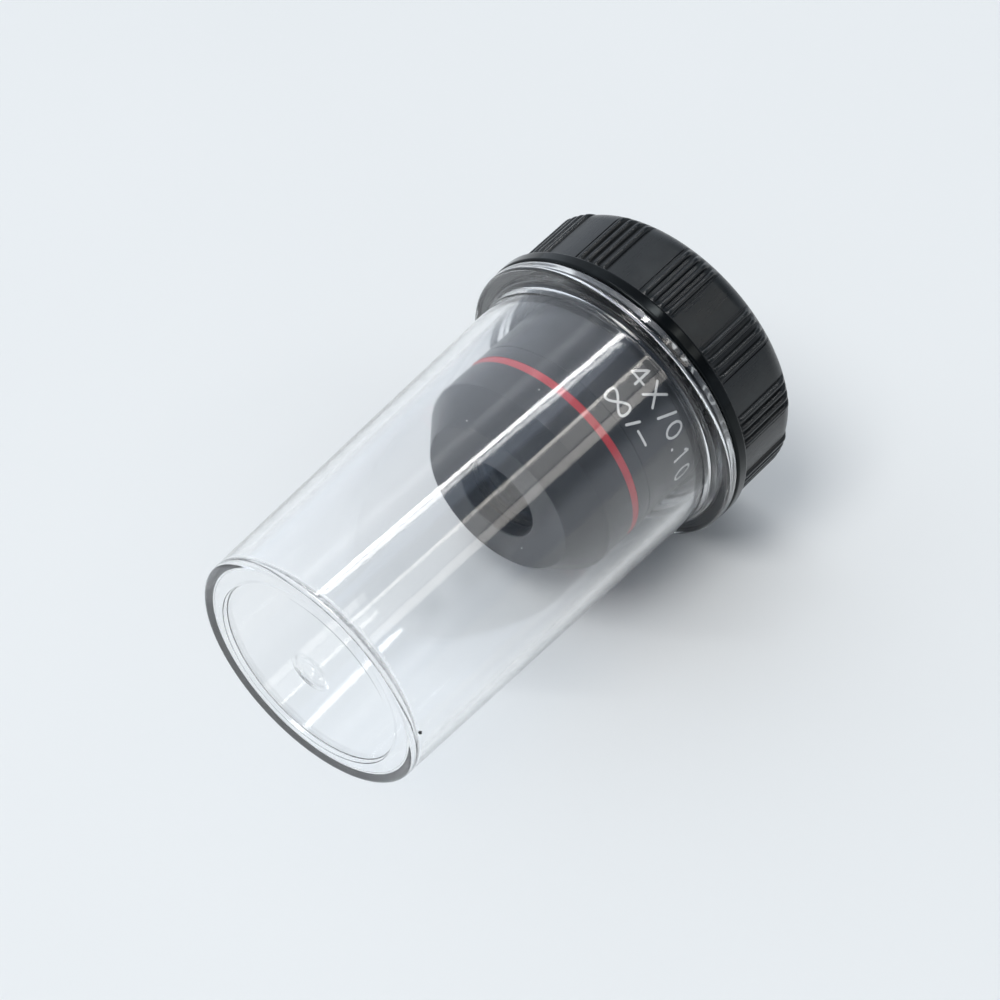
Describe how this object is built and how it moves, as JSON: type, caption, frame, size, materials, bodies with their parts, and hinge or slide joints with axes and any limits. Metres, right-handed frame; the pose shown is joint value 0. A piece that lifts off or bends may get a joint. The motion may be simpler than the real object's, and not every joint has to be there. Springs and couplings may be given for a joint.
{
  "type": "microscope objective in screw case",
  "caption": "Low-power achromat microscope objective, screwed by its standard thread into the black ribbed cap of a clear screw-on storage jar.",
  "frame": {"origin": "centre of the cap's flat outer face, on the optical axis", "axes": "+Z along the optical axis, from the cap through the objective's nose to the jar's closed end; +X and +Y complete the frame, with the marks read from the -Y side"},
  "size_m": [0.0348, 0.0348, 0.0582],
  "materials": {
    "black moulded plastic": "semi-gloss moulded",
    "clear moulded plastic": "clear polished moulding",
    "black plated brass": "satin black plating with a red filled groove and light marks",
    "bare brass": "turned",
    "blackened brass": "matt black",
    "coated optical glass": "polished, anti-reflection coated",
    "black steel": "black oxide"
  },
  "bodies": {
    "cap": {"case_cap": "black moulded plastic"},
    "jar": {"case_jar": "clear moulded plastic"},
    "objective": {"mount_body": "black plated brass", "marked_sleeve": "black plated brass", "nose_sleeve": "black plated brass", "lens_tube": "bare brass", "lens_tube_lock_ring": "bare brass", "front_cell": "bare brass", "rear_cell": "bare brass", "lens_spacer": "blackened brass", "aperture_stop": "blackened brass", "retaining_ring": "blackened brass", "front_flint": "coated optical glass", "front_crown": "coated optical glass", "rear_flint": "coated optical glass", "rear_crown": "coated optical glass", "grub_screw_1": "black steel", "grub_screw_2": "black steel", "grub_screw_3": "black steel"}
  },
  "joints": [
    {"name": "jar_off", "type": "slide", "parent": "cap", "child": "jar", "axis": [0, 0, 1], "range_m": [0, 0.045]},
    {"name": "objective_out", "type": "slide", "parent": "cap", "child": "objective", "axis": [0, 0, 1], "range_m": [0, 0.015]}
  ]
}
